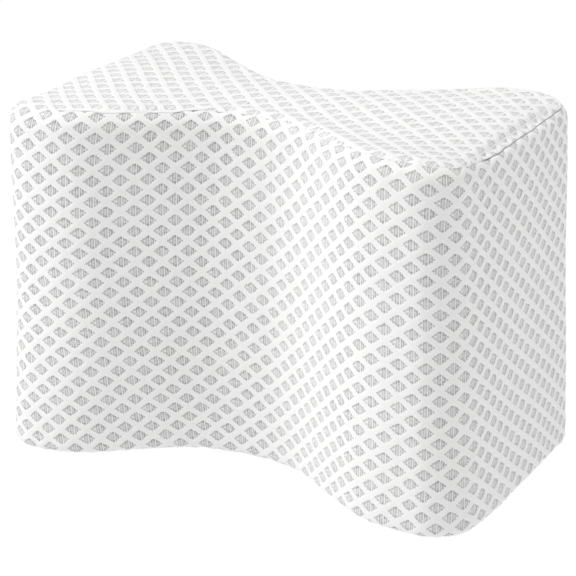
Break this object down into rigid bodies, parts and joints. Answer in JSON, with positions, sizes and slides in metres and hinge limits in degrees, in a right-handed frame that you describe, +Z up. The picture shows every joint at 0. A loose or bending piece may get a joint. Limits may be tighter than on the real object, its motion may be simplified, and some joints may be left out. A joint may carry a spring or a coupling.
{
  "type": "knee pillow",
  "caption": "Contoured hourglass pillow with firm filling in a sewn white knit cover. It stands on its flat end, and its waist hollows take the knees.",
  "frame": {"origin": "on the floor, below the middle of the standing pillow", "axes": "+X along the hourglass, +Y across it, +Z up from the flat end it stands on"},
  "size_m": [0.2798, 0.1704, 0.198],
  "materials": {
    "knit_cover": "white polyester knit with raised diagonal bars round small grey diamonds, matt"
  },
  "bodies": {
    "root": {"filled_band": "knit_cover", "top_panel": "knit_cover", "bottom_panel": "knit_cover"}
  },
  "joints": []
}
